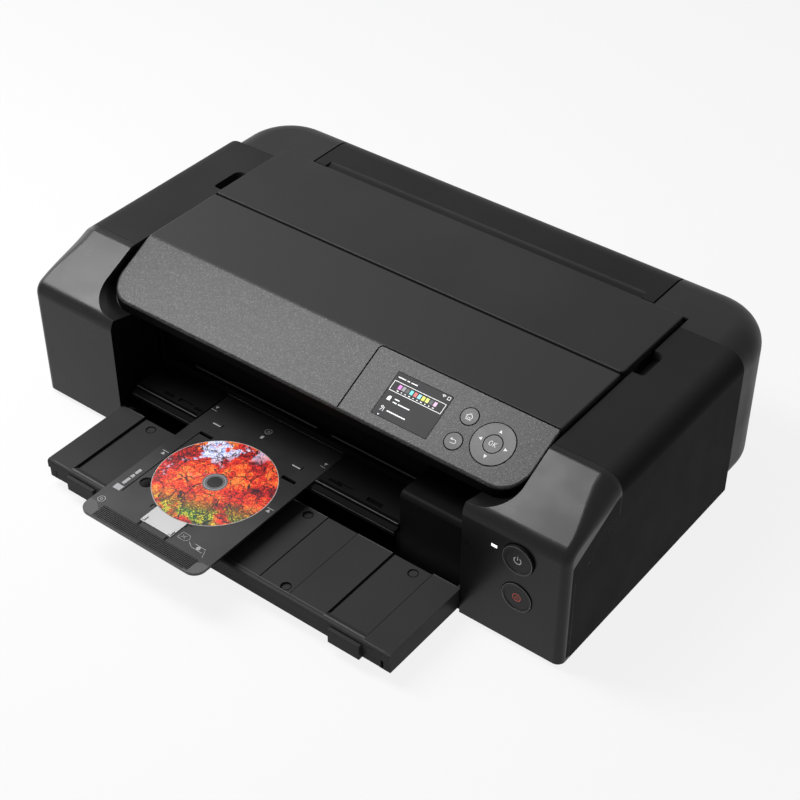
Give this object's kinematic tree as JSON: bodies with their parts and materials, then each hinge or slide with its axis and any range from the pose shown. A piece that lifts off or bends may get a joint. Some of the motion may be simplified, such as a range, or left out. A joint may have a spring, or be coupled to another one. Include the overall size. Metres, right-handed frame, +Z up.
{
  "type": "disc label printer",
  "caption": "Wide desktop photo printer with its output tray down and a disc-label tray loaded; sloping lid with screen and keys, rolled end housings, hinged rear covers.",
  "frame": {"origin": "on the desk, under the centre of the bounding box of the whole object with its trays out", "axes": "+X to the right seen from the front, +Y towards the back, +Z up"},
  "size_m": [0.639, 0.5234, 0.1745],
  "materials": {
    "cheek_shell": "satin moulded black-grey",
    "top_shell": "fine-grained black",
    "lid_shell": "black, sparkling grain on the slope",
    "panel": "black, sparkling grain",
    "keys": "satin black keys",
    "screen": "dark screen",
    "lamp": "translucent white",
    "tray_plastic": "matt black",
    "disc_plastic": "printed polycarbonate",
    "disc_tray_plastic": "satin dark grey",
    "adapter": "light grey",
    "inner_plastic": "black moulded",
    "steel": "zinc-plated sheet",
    "shaft_steel": "ground bar",
    "rubber": "black",
    "board": "circuit board",
    "tank": "dark tanks",
    "gear_plastic": "natural acetal",
    "pad": "white felt"
  },
  "bodies": {
    "housing": {"base_pan": "inner_plastic", "rubber_feet": "rubber", "left_front_cap": "cheek_shell", "right_front_cap": "cheek_shell", "left_end_cover": "top_shell", "right_end_cover": "top_shell", "rear_cover": "top_shell", "power_inlet": "inner_plastic", "status_led": "lamp", "button_board": "board", "lid_hinge_beam": "inner_plastic", "lid_hinge_pins": "shaft_steel", "rear_hinge_beam": "inner_plastic", "rear_hinge_pins": "shaft_steel", "tray_hinge_pins": "shaft_steel", "disc_guide": "inner_plastic", "front_beam": "inner_plastic", "maintenance_cover": "inner_plastic", "platen": "inner_plastic", "waste_ink_pad": "pad", "chassis_frame": "steel", "carriage_shaft": "shaft_steel", "carriage_rail": "steel", "drive_belt": "rubber", "carriage_motor": "steel", "encoder_strip": "screen", "feed_motor": "steel", "power_supply": "steel", "main_board": "board"},
    "lid": {"access_cover": "lid_shell", "operation_panel": "panel", "lcd_screen": "screen", "panel_board": "board"},
    "home_key": {"home_button": "keys"},
    "back_key": {"back_button": "keys"},
    "ring_key": {"dpad_ring": "keys"},
    "ok_key": {"ok_button": "keys"},
    "power_key": {"power_button": "keys"},
    "stop_key": {"stop_button": "keys"},
    "tray_cover": {"rear_tray_cover": "top_shell"},
    "feed_flap": {"rear_feed_flap": "top_shell"},
    "paper_tray": {"output_tray": "tray_plastic"},
    "paper_extension": {"tray_extension": "tray_plastic"},
    "disc_carrier": {"disc_tray": "disc_tray_plastic", "disc": "disc_plastic", "small_disc_adapter": "adapter"},
    "print_carriage": {"carriage": "inner_plastic", "ink_tanks": "tank", "print_head": "inner_plastic"},
    "drive_wheel": {"drive_pulley": "gear_plastic"},
    "idler_wheel": {"idler_pulley": "gear_plastic"},
    "feed_shaft": {"feed_roller": "rubber", "feed_gear": "gear_plastic"},
    "pinch_set": {"pinch_rollers": "rubber"},
    "output_shaft": {"output_roller": "rubber"},
    "pinion": {"motor_pinion": "gear_plastic"}
  },
  "joints": [
    {"name": "lid_hinge", "type": "hinge", "parent": "housing", "child": "lid", "pos_m": [0, 0.0675, 0.1675], "axis": [-1, 0, 0], "range_deg": [0, 60]},
    {"name": "tray_cover_hinge", "type": "hinge", "parent": "housing", "child": "tray_cover", "pos_m": [0, 0.1805, 0.1675], "axis": [-1, 0, 0], "range_deg": [0, 100]},
    {"name": "feed_flap_hinge", "type": "hinge", "parent": "housing", "child": "feed_flap", "pos_m": [0, 0.2335, 0.156], "axis": [-1, 0, 0], "range_deg": [0, 60]},
    {"name": "paper_tray_hinge", "type": "hinge", "parent": "housing", "child": "paper_tray", "pos_m": [0, -0.1085, 0.02], "axis": [-1, 0, 0], "range_deg": [0, 7]},
    {"name": "extension_slide", "type": "slide", "parent": "paper_tray", "child": "paper_extension", "axis": [0, -1, 0], "range_m": [0, 0.085]},
    {"name": "disc_tray_slide", "type": "slide", "parent": "housing", "child": "disc_carrier", "axis": [0, 1, 0], "range_m": [-0.03, 0.1]},
    {"name": "carriage_slide", "type": "slide", "parent": "housing", "child": "print_carriage", "axis": [-1, 0, 0], "range_m": [0, 0.28]},
    {"name": "drive_pulley_spin", "type": "hinge", "parent": "housing", "child": "drive_wheel", "pos_m": [0.214, 0.072, 0.126], "axis": [0, 1, 0], "range_deg": [-1, 1680]},
    {"name": "idler_pulley_spin", "type": "hinge", "parent": "housing", "child": "idler_wheel", "pos_m": [-0.214, 0.072, 0.126], "axis": [0, 1, 0], "range_deg": [-1, 1680]},
    {"name": "feed_roller_spin", "type": "hinge", "parent": "housing", "child": "feed_shaft", "pos_m": [0, 0.0885, 0.0378], "axis": [1, 0, 0], "continuous": true},
    {"name": "pinch_spin", "type": "hinge", "parent": "housing", "child": "pinch_set", "pos_m": [0, 0.0885, 0.0511], "axis": [1, 0, 0], "continuous": true},
    {"name": "output_roller_spin", "type": "hinge", "parent": "housing", "child": "output_shaft", "pos_m": [0, -0.0035, 0.0412], "axis": [1, 0, 0], "continuous": true},
    {"name": "motor_pinion_spin", "type": "hinge", "parent": "housing", "child": "pinion", "pos_m": [-0.241, 0.0605, 0.0378], "axis": [1, 0, 0], "continuous": true},
    {"name": "power_press", "type": "slide", "parent": "housing", "child": "power_key", "axis": [0, 1, 0], "range_m": [0, 0.002], "stiffness_N_per_m": 250},
    {"name": "stop_press", "type": "slide", "parent": "housing", "child": "stop_key", "axis": [0, 1, 0], "range_m": [0, 0.002], "stiffness_N_per_m": 250},
    {"name": "home_press", "type": "slide", "parent": "lid", "child": "home_key", "axis": [0, 0.4423, -0.8969], "range_m": [0, 0.001], "stiffness_N_per_m": 250},
    {"name": "back_press", "type": "slide", "parent": "lid", "child": "back_key", "axis": [0, 0.4423, -0.8969], "range_m": [0, 0.001], "stiffness_N_per_m": 250},
    {"name": "ring_press", "type": "slide", "parent": "lid", "child": "ring_key", "axis": [0, 0.4423, -0.8969], "range_m": [0, 0.001], "stiffness_N_per_m": 250},
    {"name": "ok_press", "type": "slide", "parent": "lid", "child": "ok_key", "axis": [0, 0.4423, -0.8969], "range_m": [0, 0.001], "stiffness_N_per_m": 250}
  ],
  "couplings": [
    {"joint": "drive_pulley_spin", "follows": "carriage_slide", "rad_per_m": 104.17},
    {"joint": "idler_pulley_spin", "follows": "carriage_slide", "rad_per_m": 104.17},
    {"joint": "pinch_spin", "follows": "feed_roller_spin", "ratio": -2.25},
    {"joint": "output_roller_spin", "follows": "feed_roller_spin", "ratio": 1.5},
    {"joint": "motor_pinion_spin", "follows": "feed_roller_spin", "ratio": -2.5}
  ]
}
